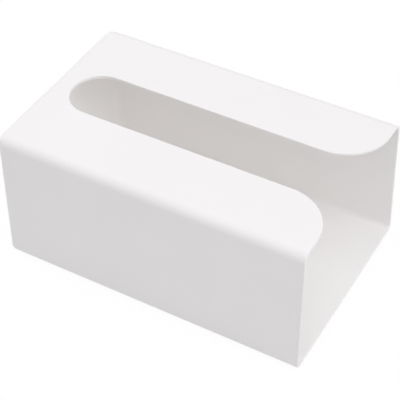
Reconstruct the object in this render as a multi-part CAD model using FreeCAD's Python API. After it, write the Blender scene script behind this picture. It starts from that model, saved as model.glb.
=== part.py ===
import FreeCAD, Part
import math
import os

# Wall-mounted box for a soft pack of tissues.
#
# The box lies on its back, as it is before it goes up on the wall.  +Z points away from the
# wall, +X points along the box towards its open end (the mouth), and Z = 0 is the plane of the
# wall.  The origin is in the middle of the box's footprint.
#
# The shell is one thin-walled moulding: a back panel, two long side walls that lean in a
# little, a closed end and a face panel.  A long slot in the face panel lets the tissues out.
# It ends in a half round near the closed end, and at the mouth its two sides swing out as
# quarter-round lips, so that a hand and a full pack go in easily.  Two foam pads on the back
# panel stick the box to the wall.

# --- Driving dimensions, in millimetres and degrees ------------------------------------------

# Outside of the shell
BOX_LENGTH = 200.0             # closed end to mouth
BOX_WIDTH = 130.0              # across the two long side walls, at the back panel
BOX_DEPTH = 88.5               # back panel to face panel
SIDE_DRAFT_DEG = 2.3           # lean of each side wall, inwards towards the face panel
FACE_BEND_RADIUS = 6.5         # where the side walls turn into the face panel
BACK_BEND_RADIUS = 3.0         # where the side walls and the closed end meet the back panel
END_EDGE_RADIUS = 6.0          # where the closed end meets the side walls and the face panel

# Walls and the hollow.  The mould's core leaves through the mouth, so the hollow widens a
# little on the way there and the walls are thinnest at the mouth.
MOUTH_WALL = 1.7               # wall thickness at the mouth
CORE_DRAFT_DEG = 0.15          # draft of the core on each side
LEAST_CORNER = 0.4             # least corner radius that the core can have

# Slot in the face panel
SLOT_WIDTH = 36.4              # also the diameter of its half-round end
SLOT_END_MARGIN = 14.8         # from the closed end to the slot's half-round end
LIP_RADIUS = 29.4              # quarter-round lips at the mouth
LIP_LAND = 1.0                 # least flat rim between a lip and the bend beside it
RIM_RADIUS = 0.4               # outer edge of the slot, lips and mouth

# Adhesive pads on the back panel
PAD_LENGTH = 100.0             # across the box
PAD_WIDTH = 25.0               # along the box
PAD_THICKNESS = 1.0
PAD_CORNER_RADIUS = 3.0
PAD_END_MARGIN = 16.0          # from the end of the box to the pad's near edge

# --- Places worked out from them --------------------------------------------------------------

CLOSED_END_X = -BOX_LENGTH / 2
MOUTH_X = BOX_LENGTH / 2
BACK_Z = PAD_THICKNESS                      # outer face of the back panel
FACE_Z = BACK_Z + BOX_DEPTH                 # outer face of the face panel
MIDDLE_Z = (BACK_Z + FACE_Z) / 2
SIDE_DRAFT = math.radians(SIDE_DRAFT_DEG)
CORE_DRAFT = math.radians(CORE_DRAFT_DEG)

# Cutting bodies run this far past the faces that they cut
OVERSHOOT = 5.0
# Two places count as the same within this distance
SAME = 1e-4


def wall_at(x):
    """Wall thickness at the station x."""
    return MOUTH_WALL + (MOUTH_X - x) * math.tan(CORE_DRAFT)


def half_width_at(z):
    """Half the outside width of the box at the height z, before its edges are rounded."""
    return BOX_WIDTH / 2 - (z - BACK_Z) * math.tan(SIDE_DRAFT)


def tangent_length(radius, corner_angle):
    """How far from a corner of this angle a rounding of this radius begins."""
    return radius / math.tan(corner_angle / 2)


def section(x, inset):
    """The box's cross-section at x with sharp corners, drawn in by inset from the outside."""
    low = BACK_Z + inset
    high = FACE_Z - inset
    side_inset = inset / math.cos(SIDE_DRAFT)
    half_low = half_width_at(low) - side_inset
    half_high = half_width_at(high) - side_inset
    corners = [
        FreeCAD.Vector(x, half_low, low),
        FreeCAD.Vector(x, half_high, high),
        FreeCAD.Vector(x, -half_high, high),
        FreeCAD.Vector(x, -half_low, low),
    ]
    return Part.makePolygon(corners + corners[:1])


def edges_where(shape, test):
    """Edges of the shape whose every sampled point passes the test."""
    return [edge for edge in shape.Edges if all(test(p) for p in edge.discretize(7))]


def rounded(block, end_inset, bend_inset):
    """The block with its closed end and its four long bends rounded, all in one go.

    A surface inside the wall has the outside's radii, less its inset there.
    """
    x_end = min(vertex.X for vertex in block.Vertexes)

    def radius_of(edge):
        if min(vertex.X for vertex in edge.Vertexes) > x_end + SAME:
            return 0.0
        if max(vertex.Z for vertex in edge.Vertexes) < MIDDLE_Z:
            return max(BACK_BEND_RADIUS - bend_inset, LEAST_CORNER)
        if max(vertex.X for vertex in edge.Vertexes) < x_end + SAME:
            return max(END_EDGE_RADIUS - end_inset, LEAST_CORNER)
        return max(FACE_BEND_RADIUS - bend_inset, LEAST_CORNER)

    document = FreeCAD.newDocument("rounding")
    sharp = document.addObject("Part::Feature", "sharp")
    sharp.Shape = block
    fillet = document.addObject("Part::Fillet", "fillet")
    fillet.Base = sharp
    numbered = [(i + 1, radius_of(edge)) for i, edge in enumerate(block.Edges)]
    fillet.Edges = [(number, radius, radius) for number, radius in numbered if radius > 0]
    document.recompute()
    result = fillet.Shape
    FreeCAD.closeDocument(document.Name)
    return result


def outer_block():
    """Solid block with the outside form of the box."""
    profile = Part.Face(section(CLOSED_END_X, 0.0))
    block = profile.extrude(FreeCAD.Vector(BOX_LENGTH, 0, 0))
    return rounded(block, 0.0, 0.0)


def face_flat_half():
    """Half the width of the face panel's flat, between the two bends."""
    bend_angle = math.pi / 2 + SIDE_DRAFT
    return half_width_at(FACE_Z) - tangent_length(FACE_BEND_RADIUS, bend_angle)


def lip_radius():
    """Radius of the lips, kept on the flat of the face panel."""
    return min(LIP_RADIUS, face_flat_half() - LIP_LAND - SLOT_WIDTH / 2)


def slot_cutter():
    """Prism through the face panel: half-round end, straight sides and flared lips."""
    half = SLOT_WIDTH / 2
    lip = lip_radius()
    reach = lip * (1 - math.sqrt(0.5))
    x_end = CLOSED_END_X + SLOT_END_MARGIN
    x_round = x_end + half
    x_lip = MOUTH_X - lip
    x_out = MOUTH_X + OVERSHOOT
    y_out = half + lip

    def point(x, y):
        return FreeCAD.Vector(x, y, MIDDLE_Z)

    def line(start, end):
        return Part.LineSegment(start, end).toShape()

    def arc(start, middle, end):
        return Part.Arc(start, middle, end).toShape()

    edges = [arc(point(x_round, half), point(x_end, 0), point(x_round, -half))]
    edges.append(line(point(x_round, -half), point(x_lip, -half)))
    near_middle = point(MOUTH_X - reach, -half - reach)
    edges.append(arc(point(x_lip, -half), near_middle, point(MOUTH_X, -y_out)))
    edges.append(line(point(MOUTH_X, -y_out), point(x_out, -y_out)))
    edges.append(line(point(x_out, -y_out), point(x_out, y_out)))
    edges.append(line(point(x_out, y_out), point(MOUTH_X, y_out)))
    far_middle = point(MOUTH_X - reach, half + reach)
    edges.append(arc(point(MOUTH_X, y_out), far_middle, point(x_lip, half)))
    edges.append(line(point(x_lip, half), point(x_round, half)))
    outline = Part.Face(Part.Wire(edges))
    return outline.extrude(FreeCAD.Vector(0, 0, FACE_Z - MIDDLE_Z + OVERSHOOT))


def round_the_rim(block):
    """Round the one outer edge that runs along the slot, the lips and the mouth."""
    flat_half = face_flat_half()
    gap_half = SLOT_WIDTH / 2 + lip_radius()

    def on_slot(p):
        on_face = abs(p.z - FACE_Z) < SAME
        off_the_end = p.x > CLOSED_END_X + END_EDGE_RADIUS + SAME
        return on_face and off_the_end and abs(p.y) < flat_half - SAME

    def on_mouth(p):
        under_the_gap = BACK_Z + SAME < p.z < FACE_Z - SAME and abs(p.y) < gap_half + SAME
        return abs(p.x - MOUTH_X) < SAME and not under_the_gap

    rim = edges_where(block, lambda p: on_slot(p) or on_mouth(p))
    return block.makeFillet(RIM_RADIUS, rim)


def hollow():
    """The mould's core: a drafted block from inside the closed end to past the mouth."""
    x_end = CLOSED_END_X + wall_at(CLOSED_END_X)
    x_out = MOUTH_X + OVERSHOOT
    sections = [section(x_end, wall_at(x_end)), section(x_out, wall_at(x_out))]
    return rounded(Part.makeLoft(sections, True, True), wall_at(x_end), MOUTH_WALL)


def box_shell():
    """The whole moulding."""
    block = outer_block().cut(slot_cutter())
    return round_the_rim(block).cut(hollow())


def adhesive_pad(x_centre):
    """Foam pad with rounded corners, from the wall's plane to the back panel."""
    corner = FreeCAD.Vector(x_centre - PAD_WIDTH / 2, -PAD_LENGTH / 2, 0)
    pad = Part.makeBox(PAD_WIDTH, PAD_LENGTH, PAD_THICKNESS, corner)
    upright = [e for e in pad.Edges if abs(e.Vertexes[0].Z - e.Vertexes[1].Z) > SAME]
    return pad.makeFillet(PAD_CORNER_RADIUS, upright)


def build():
    """Every piece of the box, by node name."""
    pad_x = BOX_LENGTH / 2 - PAD_END_MARGIN - PAD_WIDTH / 2
    return {
        "box_shell": box_shell(),
        "adhesive_pad_closed_end": adhesive_pad(-pad_x),
        "adhesive_pad_mouth_end": adhesive_pad(pad_x),
    }


os.makedirs("parts", exist_ok=True)
for node, shape in build().items():
    shape.exportStep("parts/" + node + ".step")
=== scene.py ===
import bpy
import bmesh
import math
from mathutils import Matrix, Vector


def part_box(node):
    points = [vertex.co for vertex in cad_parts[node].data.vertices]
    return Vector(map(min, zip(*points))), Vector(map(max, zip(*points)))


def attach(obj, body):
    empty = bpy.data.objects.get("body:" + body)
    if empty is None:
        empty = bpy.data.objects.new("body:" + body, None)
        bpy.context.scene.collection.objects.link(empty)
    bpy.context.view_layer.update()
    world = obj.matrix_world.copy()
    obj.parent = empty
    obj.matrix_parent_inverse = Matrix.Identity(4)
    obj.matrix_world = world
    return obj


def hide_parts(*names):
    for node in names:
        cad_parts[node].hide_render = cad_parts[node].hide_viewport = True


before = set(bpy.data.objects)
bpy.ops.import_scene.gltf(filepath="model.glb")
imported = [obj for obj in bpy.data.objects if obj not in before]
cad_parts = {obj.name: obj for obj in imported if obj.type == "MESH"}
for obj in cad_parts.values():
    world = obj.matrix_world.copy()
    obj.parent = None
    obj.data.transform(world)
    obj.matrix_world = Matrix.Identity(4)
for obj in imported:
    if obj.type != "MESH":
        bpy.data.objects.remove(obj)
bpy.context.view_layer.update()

# --- Moulded shell ----------------------------------------------------------------------------
# One injection moulding in matt white ABS: back panel, two side walls that lean in, closed end
# and face panel.  The mould's core leaves through the mouth, so the hollow widens towards it.
# The tool is spark-eroded, which gives the plastic its fine, even texture.

shell_low, shell_high = (Vector(corner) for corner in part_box("box_shell"))
shell_length = shell_high.x - shell_low.x
shell_depth = shell_high.z - shell_low.z
middle_z = (shell_low.z + shell_high.z) / 2
side_lean = math.radians(2.3)
face_bend = 0.0065
back_bend = 0.003
end_bend = 0.006
core_back_bend = 0.0019
mouth_wall = 0.0017
end_wall = 0.00222
past_mouth = 0.005


def add_node(tree, kind, inputs=(), **settings):
    """Add a node, make its settings, and link each of its inputs or give it a value."""
    made = tree.nodes.new(kind)
    for name, value in settings.items():
        setattr(made, name, value)
    for name, value in dict(inputs).items():
        if isinstance(value, bpy.types.NodeSocket):
            tree.links.new(value, made.inputs[name])
        else:
            made.inputs[name].default_value = value
    return made


def shader_tree(material):
    """A material's node tree and its surface shader."""
    material.use_nodes = True
    return material.node_tree, material.node_tree.nodes["Principled BSDF"]


def own_place(tree):
    """A point's place in the object's own coordinates, in metres."""
    return add_node(tree, "ShaderNodeTexCoord").outputs["Object"]


def noise_of(tree, place, per_metre, detail, low, high):
    """Noise of so many waves to the metre, spread from low to high."""
    noise = add_node(tree, "ShaderNodeTexNoise", {
        "Vector": place,
        "Scale": per_metre,
        "Detail": detail,
    })
    usual_low, usual_high = 0.3, 0.7
    spread = add_node(tree, "ShaderNodeMapRange", {
        "Value": noise.outputs["Fac"],
        "From Min": usual_low,
        "From Max": usual_high,
        "To Min": low,
        "To Max": high,
    })
    return spread.outputs["Result"]


def mixed_colour(tree, factor, first, second):
    """A colour that goes from the first to the second with the factor."""
    mix = add_node(tree, "ShaderNodeMix", {"Factor": factor}, data_type="RGBA")
    colours = [socket for socket in mix.inputs if socket.type == "RGBA"]
    colours[0].default_value = (*first, 1.0)
    colours[1].default_value = (*second, 1.0)
    return next(socket for socket in mix.outputs if socket.type == "RGBA")


# Matt white ABS: spark-eroded grain of about 0.3 mm, a very faint flow mottle a few
# centimetres across, and a roughness that drifts a little over the panels.
mottle_per_metre = 30.0
drift_per_metre = 90.0
grain_per_metre = 3200.0
grain_depth = 0.00002
darkest_white = (0.943, 0.936, 0.925)
lightest_white = (0.955, 0.948, 0.937)
smoothest, roughest = 0.52, 0.60

matt_white = bpy.data.materials.new("matt_white_abs")
tree, surface = shader_tree(matt_white)
place = own_place(tree)
mottle = noise_of(tree, place, mottle_per_metre, 2.0, 0.0, 1.0)
tint = mixed_colour(tree, mottle, darkest_white, lightest_white)
sheen_drift = noise_of(tree, place, drift_per_metre, 3.0, smoothest, roughest)
grain = noise_of(tree, place, grain_per_metre, 2.0, 0.0, 1.0)
eroded = add_node(tree, "ShaderNodeBump", {
    "Strength": 0.35,
    "Distance": grain_depth,
    "Height": grain,
})
tree.links.new(tint, surface.inputs["Base Color"])
tree.links.new(sheen_drift, surface.inputs["Roughness"])
tree.links.new(eroded.outputs["Normal"], surface.inputs["Normal"])
surface.inputs["Specular IOR Level"].default_value = 0.35

# The widest line of the shell lies on its back bends, a little inside the corner that the flat
# back and a leaning side would make if they met.
back_half = shell_high.y + back_bend * (math.tan(side_lean) + 1 / math.cos(side_lean) - 1)


def section_sizes(inset):
    """Depth, width at the back and width at the face of the section drawn in by inset."""
    side_inset = inset / math.cos(side_lean)
    half_low = back_half - inset * math.tan(side_lean) - side_inset
    half_high = back_half - (shell_depth - inset) * math.tan(side_lean) - side_inset
    return shell_depth - 2 * inset, 2 * half_low, 2 * half_high


def add_inputs(tree, kind, values):
    """Named inputs of one kind, each with its usual value, and the node that gives them."""
    for name, value in values.items():
        tree.interface.new_socket(name, in_out="INPUT", socket_type=kind).default_value = value
    return tree.nodes.new("NodeGroupInput")


def straight_path(tree, start, direction, length):
    """A path of one straight run."""
    return add_node(tree, "GeometryNodeCurvePrimitiveLine", {
        "Start": start,
        "Direction": direction,
        "Length": length,
    }, mode="DIRECTION")


def swept_section(tree, given, name, start_x, scale):
    """Nodes that sweep the box's section, a trapezium, from start_x towards the mouth.

    The sweep turns the section over, so its bottom side is the face and its top the back.
    """
    path = straight_path(
        tree, (start_x, 0, middle_z), (1, 0, 0), given.outputs[name + " Length"])
    outline = add_node(tree, "GeometryNodeCurvePrimitiveQuadrilateral", {
        "Height": given.outputs[name + " Depth"],
        "Bottom Width": given.outputs[name + " Face Width"],
        "Top Width": given.outputs[name + " Back Width"],
        "Offset": 0.0,
    }, mode="TRAPEZOID")
    return add_node(tree, "GeometryNodeCurveToMesh", {
        "Curve": path.outputs["Curve"],
        "Profile Curve": outline.outputs["Curve"],
        "Scale": scale,
        "Fill Caps": True,
    })


# The core runs out past the mouth and grows by its draft on every side.  One scale stands for
# that, right for a size half-way between its depth and its width.
outer_depth, outer_back, outer_face = section_sizes(0.0)
core_depth, core_back, core_face = section_sizes(end_wall)
core_end_x = shell_low.x + end_wall
core_length = shell_high.x + past_mouth - core_end_x
core_middle = (core_depth + core_back) / 2
core_draft = (end_wall - mouth_wall) / shell_length
core_growth = 1 + 2 * core_draft * core_length / core_middle

moulding = bpy.data.node_groups.new("box moulding", "GeometryNodeTree")
moulding.interface.new_socket("Slot Outline", in_out="INPUT", socket_type="NodeSocketGeometry")
given = add_inputs(moulding, "NodeSocketFloat", {
    "Outer Length": shell_length,
    "Outer Depth": outer_depth,
    "Outer Back Width": outer_back,
    "Outer Face Width": outer_face,
    "Core Length": core_length,
    "Core Depth": core_depth,
    "Core Back Width": core_back,
    "Core Face Width": core_face,
    "Core Growth": core_growth,
    "Slot Cut Height": shell_high.z + past_mouth - middle_z,
})
moulding.interface.new_socket("Moulding", in_out="OUTPUT", socket_type="NodeSocketGeometry")

outer = swept_section(moulding, given, "Outer", shell_low.x, 1.0)
along = add_node(moulding, "GeometryNodeSplineParameter")
growth = add_node(moulding, "ShaderNodeMapRange", {
    "Value": along.outputs["Factor"],
    "To Min": 1.0,
    "To Max": given.outputs["Core Growth"],
})
core = swept_section(moulding, given, "Core", core_end_x, growth.outputs["Result"])

lip_steps = 28
corner_radius = add_node(moulding, "GeometryNodeInputRadius")
slot_line = add_node(moulding, "GeometryNodeFilletCurve", {
    "Curve": given.outputs["Slot Outline"],
    "Count": lip_steps,
    "Radius": corner_radius.outputs["Radius"],
    "Limit Radius": True,
}, mode="POLY")
unit_radius = add_node(moulding, "GeometryNodeSetCurveRadius", {
    "Curve": slot_line.outputs["Curve"],
    "Radius": 1.0,
})
slot_path = straight_path(
    moulding, (0, 0, middle_z), (0, 0, 1), given.outputs["Slot Cut Height"])
slot_plug = add_node(moulding, "GeometryNodeCurveToMesh", {
    "Curve": slot_path.outputs["Curve"],
    "Profile Curve": unit_radius.outputs["Curve"],
    "Fill Caps": True,
})

hollowed = add_node(moulding, "GeometryNodeMeshBoolean", {
    "Mesh 1": outer.outputs["Mesh"],
    "Mesh 2": core.outputs["Mesh"],
}, operation="DIFFERENCE", solver="EXACT")
slotted = add_node(moulding, "GeometryNodeMeshBoolean", {
    "Mesh 1": hollowed.outputs["Mesh"],
    "Mesh 2": slot_plug.outputs["Mesh"],
}, operation="DIFFERENCE", solver="EXACT")
same_spot = 1e-6
merged = add_node(moulding, "GeometryNodeMergeByDistance", {
    "Geometry": slotted.outputs["Mesh"],
    "Distance": same_spot,
})
realized = add_node(moulding, "GeometryNodeRealizeInstances", {
    "Geometry": merged.outputs["Geometry"],
})
finished = add_node(moulding, "GeometryNodeSetMaterial", {
    "Geometry": realized.outputs["Geometry"],
    "Material": matt_white,
})
add_node(moulding, "NodeGroupOutput", {"Moulding": finished.outputs["Geometry"]})

# Corners of the slot in the face panel, each with the radius that rounds it: the half-round
# end by the closed end, and the quarter-round lips at the mouth.
slot_half = 0.0182
slot_end_x = shell_low.x + 0.0148
lip_radius = 0.0294
lip_half = slot_half + lip_radius
out_x = shell_high.x + past_mouth
slot_corners = [
    (slot_end_x, -slot_half, slot_half),
    (shell_high.x, -slot_half, lip_radius),
    (shell_high.x, -lip_half, 0),
    (out_x, -lip_half, 0),
    (out_x, lip_half, 0),
    (shell_high.x, lip_half, 0),
    (shell_high.x, slot_half, lip_radius),
    (slot_end_x, slot_half, slot_half),
]
slot_curve = bpy.data.curves.new("slot outline", "CURVE")
slot_curve.dimensions = "3D"
slot_spline = slot_curve.splines.new("POLY")
slot_spline.points.add(len(slot_corners) - 1)
slot_spline.use_cyclic_u = True
for point, (x, y, radius) in zip(slot_spline.points, slot_corners):
    point.co = (x, y, 0, 1)
    point.radius = radius
blank = bpy.data.objects.new("shell_blank", slot_curve)
bpy.context.collection.objects.link(blank)
blank.modifiers.new("moulding", "NODES").node_group = moulding

# The blank is sharp all over.  Its long bends and the edges of its closed end are rounded first,
# outside and inside, each by its own radius.  Every edge that is still sharp gets the fine rim.
rim_radius = 0.0004
sharp_angle = math.radians(70)
near = 1e-5
back_half_angle = (math.pi / 2 - side_lean) / 2
face_half_angle = (math.pi / 2 + side_lean) / 2


def bend_width(edge):
    """How far from this edge its bend begins, or nothing for an edge that only gets the rim."""
    first, last = (vert.co for vert in edge.verts)
    middle = (first + last) / 2
    is_outside = min(abs(middle.z - shell_low.z), abs(middle.z - shell_high.z)) < near
    low_bend = back_bend if is_outside else core_back_bend
    for end_x, end_inset in ((shell_low.x, 0.0), (core_end_x, end_wall)):
        if max(abs(first.x - end_x), abs(last.x - end_x)) < near:
            return low_bend if max(first.z, last.z) < middle_z else end_bend - end_inset
    if abs(first.x - last.x) < near or abs(middle.y) < lip_half:
        return 0.0
    if middle.z < middle_z:
        return low_bend / math.tan(back_half_angle)
    high_bend = face_bend if is_outside else face_bend - mouth_wall
    return high_bend / math.tan(face_half_angle)


def plain_mesh(built, name):
    """The evaluated object as a mesh of its own, without the empty first slot it may have."""
    bpy.context.view_layer.update()
    seen = built.evaluated_get(bpy.context.evaluated_depsgraph_get())
    mesh = bpy.data.meshes.new_from_object(seen)
    mesh.name = name
    if mesh.materials and mesh.materials[0] is None:
        mesh.materials.pop(index=0)
    return mesh


shell = bpy.data.objects.new("moulded_shell", plain_mesh(blank, "moulded_shell"))
bpy.context.collection.objects.link(shell)
bpy.data.objects.remove(blank)

edges = bmesh.new()
edges.from_mesh(shell.data)
flat_angle = math.radians(0.5)
seams = [edge for edge in edges.edges if edge.calc_face_angle(0) < flat_angle]
bmesh.ops.dissolve_edges(edges, edges=seams)
weight = edges.edges.layers.float.new("bevel_weight_edge")
for edge in edges.edges:
    if edge.calc_face_angle(0) > sharp_angle:
        edge[weight] = bend_width(edge) / face_bend
for face in edges.faces:
    face.smooth = True
edges.to_mesh(shell.data)
edges.free()

bends = shell.modifiers.new("bends", "BEVEL")
bends.limit_method = "WEIGHT"
bends.width = face_bend
bends.segments = 10
bends.use_clamp_overlap = False
rim = shell.modifiers.new("rim", "BEVEL")
rim.limit_method = "ANGLE"
rim.angle_limit = sharp_angle
rim.width = rim_radius
rim.segments = 4
rim.use_clamp_overlap = False
flats = shell.modifiers.new("flat flats", "WEIGHTED_NORMAL")
flats.weight = 60

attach(shell, "root")
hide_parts("box_shell")

# --- Adhesive pads ----------------------------------------------------------------------------
# Two die-cut pads of white closed-cell foam, with adhesive film on both faces.  They stick to
# the back panel and hold the box to the wall.  The cutter leaves the foam's edge a little hollow.

pad_boxes = [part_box("adhesive_pad_closed_end"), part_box("adhesive_pad_mouth_end")]
pad_low, pad_high = (Vector(corner) for corner in pad_boxes[0])
pad_size = pad_high - pad_low
pad_spacing = pad_boxes[1][0][0] - pad_low.x

# White closed-cell foam, with cells of about 0.3 mm.
cells_per_metre = 3500.0
cell_depth = 0.0001
foam_wall = (0.60, 0.60, 0.58)
foam_cell = (0.78, 0.78, 0.76)

foam = bpy.data.materials.new("white_foam")
tree, surface = shader_tree(foam)
cells = add_node(tree, "ShaderNodeTexVoronoi", {
    "Vector": own_place(tree),
    "Scale": cells_per_metre,
})
foam_tint = mixed_colour(tree, cells.outputs["Distance"], foam_wall, foam_cell)
cell_walls = add_node(tree, "ShaderNodeBump", {
    "Strength": 0.9,
    "Distance": cell_depth,
    "Height": cells.outputs["Distance"],
})
tree.links.new(foam_tint, surface.inputs["Base Color"])
tree.links.new(cell_walls.outputs["Normal"], surface.inputs["Normal"])
surface.inputs["Roughness"].default_value = 0.9

# White adhesive film, rolled on a little unevenly, so its gloss and its tint vary.
ripples_per_metre = 260.0
gloss_per_metre = 600.0
ripple_depth = 0.00005
pressed_film = (0.74, 0.74, 0.71)
loose_film = (0.79, 0.79, 0.77)
glossiest, dullest = 0.18, 0.34

film = bpy.data.materials.new("adhesive_film")
tree, surface = shader_tree(film)
place = own_place(tree)
ripple = noise_of(tree, place, ripples_per_metre, 3.0, 0.0, 1.0)
film_tint = mixed_colour(tree, ripple, pressed_film, loose_film)
film_gloss = noise_of(tree, place, gloss_per_metre, 2.0, glossiest, dullest)
wetting = add_node(tree, "ShaderNodeBump", {
    "Strength": 0.3,
    "Distance": ripple_depth,
    "Height": ripple,
})
tree.links.new(film_tint, surface.inputs["Base Color"])
tree.links.new(film_gloss, surface.inputs["Roughness"])
tree.links.new(wetting.outputs["Normal"], surface.inputs["Normal"])

corner_steps = 10
edge_layers = 7
pads_tree = bpy.data.node_groups.new("pair of foam pads", "GeometryNodeTree")
given = add_inputs(pads_tree, "NodeSocketFloat", {
    "Width": pad_size.x,
    "Length": pad_size.y,
    "Thickness": pad_size.z,
    "Corner Radius": 0.003,
    "Edge Hollow": 0.00015,
    "Spacing": pad_spacing,
})
pads_tree.interface.new_socket("Pads", in_out="OUTPUT", socket_type="NodeSocketGeometry")
outline = add_node(pads_tree, "GeometryNodeCurvePrimitiveQuadrilateral", {
    "Width": given.outputs["Width"],
    "Height": given.outputs["Length"],
}, mode="RECTANGLE")
cut_line = add_node(pads_tree, "GeometryNodeFilletCurve", {
    "Curve": outline.outputs["Curve"],
    "Count": corner_steps,
    "Radius": given.outputs["Corner Radius"],
}, mode="POLY")
top = add_node(pads_tree, "ShaderNodeCombineXYZ", {"Z": given.outputs["Thickness"]})
upright = add_node(pads_tree, "GeometryNodeCurvePrimitiveLine", {
    "Start": (0, 0, 0),
    "End": top.outputs["Vector"],
})
layers = add_node(pads_tree, "GeometryNodeResampleCurve", {
    "Curve": upright.outputs["Curve"],
    "Count": edge_layers,
})
block = add_node(pads_tree, "GeometryNodeCurveToMesh", {
    "Curve": layers.outputs["Curve"],
    "Profile Curve": cut_line.outputs["Curve"],
    "Fill Caps": True,
})

# The hollow of the cut edge: nothing at either face, deepest half-way between them.  The share
# of the height times that share less one is negative, so the step goes inwards.
spot = add_node(pads_tree, "GeometryNodeInputPosition")
level = add_node(pads_tree, "ShaderNodeSeparateXYZ", {"Vector": spot.outputs["Position"]})
share = add_node(pads_tree, "ShaderNodeMath", {
    0: level.outputs["Z"],
    1: given.outputs["Thickness"],
}, operation="DIVIDE")
share_left = add_node(pads_tree, "ShaderNodeMath", {
    0: share.outputs[0],
    1: 1.0,
}, operation="SUBTRACT")
dip = add_node(pads_tree, "ShaderNodeMath", {
    0: share.outputs[0],
    1: share_left.outputs[0],
}, operation="MULTIPLY")
deepest = add_node(pads_tree, "ShaderNodeMath", {
    0: given.outputs["Edge Hollow"],
    1: 4.0,
}, operation="MULTIPLY")
depth = add_node(pads_tree, "ShaderNodeMath", {
    0: dip.outputs[0],
    1: deepest.outputs[0],
}, operation="MULTIPLY")
outward = add_node(pads_tree, "GeometryNodeInputNormal")
inward_step = add_node(pads_tree, "ShaderNodeVectorMath", {
    "Vector": outward.outputs["Normal"],
    "Scale": depth.outputs[0],
}, operation="SCALE")
hollow_edge = add_node(pads_tree, "GeometryNodeSetPosition", {
    "Geometry": block.outputs["Mesh"],
    "Offset": inward_step.outputs["Vector"],
})

apart = add_node(pads_tree, "ShaderNodeCombineXYZ", {"X": given.outputs["Spacing"]})
places = add_node(pads_tree, "GeometryNodeMeshLine", {
    "Count": 2,
    "Start Location": ((pad_low.x + pad_high.x) / 2, 0, 0),
    "Offset": apart.outputs["Vector"],
})
both = add_node(pads_tree, "GeometryNodeInstanceOnPoints", {
    "Points": places.outputs["Mesh"],
    "Instance": hollow_edge.outputs["Geometry"],
})
realized = add_node(pads_tree, "GeometryNodeRealizeInstances", {
    "Geometry": both.outputs["Instances"],
})
foamed = add_node(pads_tree, "GeometryNodeSetMaterial", {
    "Geometry": realized.outputs["Geometry"],
    "Material": foam,
})
facing = add_node(pads_tree, "ShaderNodeSeparateXYZ", {"Vector": outward.outputs["Normal"]})
level_facing = 0.9
up_or_down = add_node(pads_tree, "ShaderNodeMath", {
    0: facing.outputs["Z"],
}, operation="ABSOLUTE")
on_face = add_node(pads_tree, "FunctionNodeCompare", {
    "A": up_or_down.outputs[0],
    "B": level_facing,
})
filmed = add_node(pads_tree, "GeometryNodeSetMaterial", {
    "Geometry": foamed.outputs["Geometry"],
    "Selection": on_face.outputs["Result"],
    "Material": film,
})
add_node(pads_tree, "NodeGroupOutput", {"Pads": filmed.outputs["Geometry"]})

pad_blank = bpy.data.objects.new("pad_blank", bpy.data.meshes.new("pad_blank"))
bpy.context.collection.objects.link(pad_blank)
pad_blank.modifiers.new("pads", "NODES").node_group = pads_tree
pads = bpy.data.objects.new("adhesive_pads", plain_mesh(pad_blank, "adhesive_pads"))
bpy.context.collection.objects.link(pads)
bpy.data.objects.remove(pad_blank)
cut_angle = math.radians(40)
pads.data.shade_smooth()
pads.data.set_sharp_from_angle(angle=cut_angle)

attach(pads, "root")
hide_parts("adhesive_pad_closed_end", "adhesive_pad_mouth_end")

# --- Floor ------------------------------------------------------------------------------------
# A pale, flat, seamless floor.  Seen straight or in a reflection it is lifted most of the way to
# white, and it keeps the soft shadow that the box throws on it.

floor_half = 3.0
floor_gap = 0.0002
floor_grey = 0.80
floor_lift = 0.9
floor_white = 1.03
floor_mesh = bpy.data.meshes.new("floor")
floor_edges = bmesh.new()
bmesh.ops.create_grid(floor_edges, x_segments=1, y_segments=1, size=floor_half)
floor_edges.to_mesh(floor_mesh)
floor_edges.free()
floor = bpy.data.objects.new("floor", floor_mesh)
floor.location.z = -floor_gap
bpy.context.collection.objects.link(floor)


def seen_ray(tree):
    """One for a ray that shows the white backdrop: from the camera, or by gloss or glass."""
    ray = add_node(tree, "ShaderNodeLightPath")
    straight_or_gloss = add_node(tree, "ShaderNodeMath", {
        0: ray.outputs["Is Camera Ray"],
        1: ray.outputs["Is Glossy Ray"],
    }, operation="MAXIMUM")
    return add_node(tree, "ShaderNodeMath", {
        0: straight_or_gloss.outputs[0],
        1: ray.outputs["Is Transmission Ray"],
    }, operation="MAXIMUM").outputs[0]


pale_paper = bpy.data.materials.new("pale_paper")
tree, surface = shader_tree(pale_paper)
surface.inputs["Base Color"].default_value = (floor_grey, floor_grey, floor_grey, 1.0)
surface.inputs["Roughness"].default_value = 0.9
surface.inputs["Specular IOR Level"].default_value = 0.0
white = add_node(tree, "ShaderNodeEmission", {"Color": (1, 1, 1, 1), "Strength": floor_white})
lift = add_node(tree, "ShaderNodeMath", {
    0: seen_ray(tree),
    1: floor_lift,
}, operation="MULTIPLY")
lifted = add_node(tree, "ShaderNodeMixShader", {
    0: lift.outputs[0],
    1: surface.outputs["BSDF"],
    2: white.outputs["Emission"],
})
tree.links.new(lifted.outputs["Shader"], tree.nodes["Material Output"].inputs["Surface"])
floor_mesh.materials.append(pale_paper)

# --- Light ------------------------------------------------------------------------------------
# A white room gives much of the light evenly.  Softboxes above the mouth, above the closed end
# and beside the box shade its bends, and a low one beyond the mouth lights the hollow.  That is
# white, and lit mostly from wall to wall, so rays are followed through more bounces.

daylight = (0.99, 0.975, 1.0)
room_strength = 0.40

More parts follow.
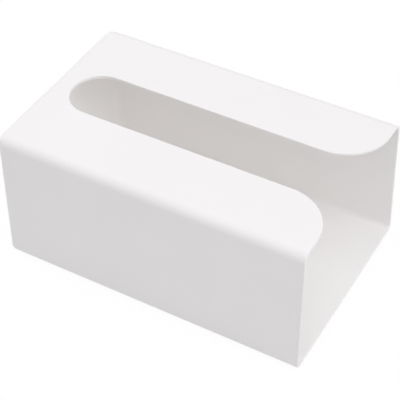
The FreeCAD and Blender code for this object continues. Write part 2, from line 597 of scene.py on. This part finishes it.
room = bpy.data.worlds.new("white room")
bpy.context.scene.world = room
room.use_nodes = True
tree = room.node_tree
dim = tree.nodes["Background"]
dim.inputs["Color"].default_value = (*daylight, 1)
dim.inputs["Strength"].default_value = room_strength
backdrop = add_node(tree, "ShaderNodeBackground", {"Color": (1, 1, 1, 1), "Strength": 1.0})
room_mix = add_node(tree, "ShaderNodeMixShader", {
    0: seen_ray(tree),
    1: dim.outputs["Background"],
    2: backdrop.outputs["Background"],
})
tree.links.new(room_mix.outputs["Shader"], tree.nodes["World Output"].inputs["Surface"])


def add_softbox(name, side, watts, place):
    """A square area light that shines from its place at the box."""
    light = bpy.data.lights.new(name, "AREA")
    light.size = side
    light.energy = watts
    light.color = daylight
    lamp = bpy.data.objects.new(name, light)
    lamp.location = place
    lamp.rotation_euler = (-Vector(place)).to_track_quat("-Z", "Y").to_euler()
    bpy.context.collection.objects.link(lamp)


add_softbox("overhead softbox", side=1.4, watts=8.1, place=(0.5, -0.2, 1.35))
add_softbox("closed end softbox", side=1.0, watts=5.8, place=(-1.1, 0.2, 0.9))
add_softbox("side softbox", side=1.0, watts=2.4, place=(-0.2, -1.2, 1.2))
add_softbox("mouth softbox", side=1.0, watts=3.6, place=(1.3, 0.0, 0.55))
bpy.context.scene.cycles.diffuse_bounces = 12
bpy.context.scene.cycles.max_bounces = 16

# --- Camera -----------------------------------------------------------------------------------
# It looks down on the box from the mouth's end of its near side, through a long lens, and is
# turned a little about its own line of sight.

camera_azimuth = math.radians(30.912)
camera_elevation = math.radians(43.582)
camera_roll = math.radians(-1.621)
camera_distance = 0.7638
camera_aim = Vector((0.00444, -0.0067, 0.041))
camera_data = bpy.data.cameras.new("camera")
camera_data.lens = 114.92
camera_data.sensor_width = 36.0
camera_data.clip_start = 0.01
camera = bpy.data.objects.new("camera", camera_data)
back = Vector((
    math.sin(camera_azimuth) * math.cos(camera_elevation),
    -math.cos(camera_azimuth) * math.cos(camera_elevation),
    math.sin(camera_elevation),
))
right = Vector((0, 0, 1)).cross(back).normalized()
unturned = Matrix((right, back.cross(right), back)).transposed()
turned = Matrix.Rotation(camera_roll, 3, back) @ unturned
camera_place = Matrix.Translation(camera_aim + back * camera_distance)
camera.matrix_world = camera_place @ turned.to_4x4()
bpy.context.collection.objects.link(camera)
bpy.context.scene.camera = camera

# --- View -------------------------------------------------------------------------------------
# Colours are shown as they are.

bpy.context.scene.view_settings.view_transform = "Standard"
